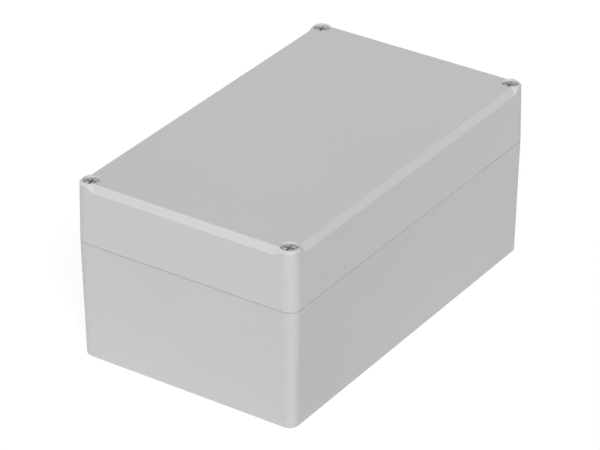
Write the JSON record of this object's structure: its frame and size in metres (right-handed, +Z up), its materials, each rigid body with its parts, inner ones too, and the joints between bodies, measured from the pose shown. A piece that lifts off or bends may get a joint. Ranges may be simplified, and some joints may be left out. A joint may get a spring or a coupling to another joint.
{
  "type": "plastic project box",
  "caption": "Rectangular plastic electronics enclosure: a base and a deep bevelled lid that closes on a gasket with captive corner screws.",
  "frame": {"origin": "middle of the underside, on the surface the box stands on", "axes": "+X along the length, +Y across the width, +Z up from the base to the lid"},
  "size_m": [0.2, 0.12, 0.0915],
  "materials": {
    "base": "satin light grey moulding",
    "lid": "satin light grey moulding",
    "gasket": "soft dull foam rubber",
    "screw": "turned stainless steel",
    "retainer": "natural white nylon",
    "insert": "turned brass"
  },
  "bodies": {
    "base": {"base": "base", "threaded_insert_1": "insert", "threaded_insert_2": "insert", "threaded_insert_3": "insert", "threaded_insert_4": "insert"},
    "lid": {"lid": "lid", "gasket": "gasket"},
    "retainer_1": {"screw_retainer_1": "retainer"},
    "screw_1": {"lid_screw_1": "screw"},
    "retainer_2": {"screw_retainer_2": "retainer"},
    "screw_2": {"lid_screw_2": "screw"},
    "retainer_3": {"screw_retainer_3": "retainer"},
    "screw_3": {"lid_screw_3": "screw"},
    "retainer_4": {"screw_retainer_4": "retainer"},
    "screw_4": {"lid_screw_4": "screw"}
  },
  "joints": [
    {"name": "lid_lift", "type": "slide", "parent": "base", "child": "lid", "axis": [0, 0, 1], "range_m": [0, 0.12]},
    {"name": "screw_rise_1", "type": "slide", "parent": "lid", "child": "retainer_1", "axis": [0, 0, 1], "range_m": [0, 0.0105]},
    {"name": "screw_turn_1", "type": "hinge", "parent": "retainer_1", "child": "screw_1", "pos_m": [-0.094, -0.054, 0.088], "axis": [0, 0, 1], "range_deg": [0, 5400]},
    {"name": "screw_rise_2", "type": "slide", "parent": "lid", "child": "retainer_2", "axis": [0, 0, 1], "range_m": [0, 0.0105]},
    {"name": "screw_turn_2", "type": "hinge", "parent": "retainer_2", "child": "screw_2", "pos_m": [0.094, -0.054, 0.088], "axis": [0, 0, 1], "range_deg": [0, 5400]},
    {"name": "screw_rise_3", "type": "slide", "parent": "lid", "child": "retainer_3", "axis": [0, 0, 1], "range_m": [0, 0.0105]},
    {"name": "screw_turn_3", "type": "hinge", "parent": "retainer_3", "child": "screw_3", "pos_m": [0.094, 0.054, 0.088], "axis": [0, 0, 1], "range_deg": [0, 5400]},
    {"name": "screw_rise_4", "type": "slide", "parent": "lid", "child": "retainer_4", "axis": [0, 0, 1], "range_m": [0, 0.0105]},
    {"name": "screw_turn_4", "type": "hinge", "parent": "retainer_4", "child": "screw_4", "pos_m": [-0.094, 0.054, 0.088], "axis": [0, 0, 1], "range_deg": [0, 5400]}
  ],
  "couplings": [
    {"joint": "screw_turn_1", "follows": "screw_rise_1", "rad_per_m": 8976},
    {"joint": "screw_turn_2", "follows": "screw_rise_2", "rad_per_m": 8976},
    {"joint": "screw_turn_3", "follows": "screw_rise_3", "rad_per_m": 8976},
    {"joint": "screw_turn_4", "follows": "screw_rise_4", "rad_per_m": 8976}
  ]
}
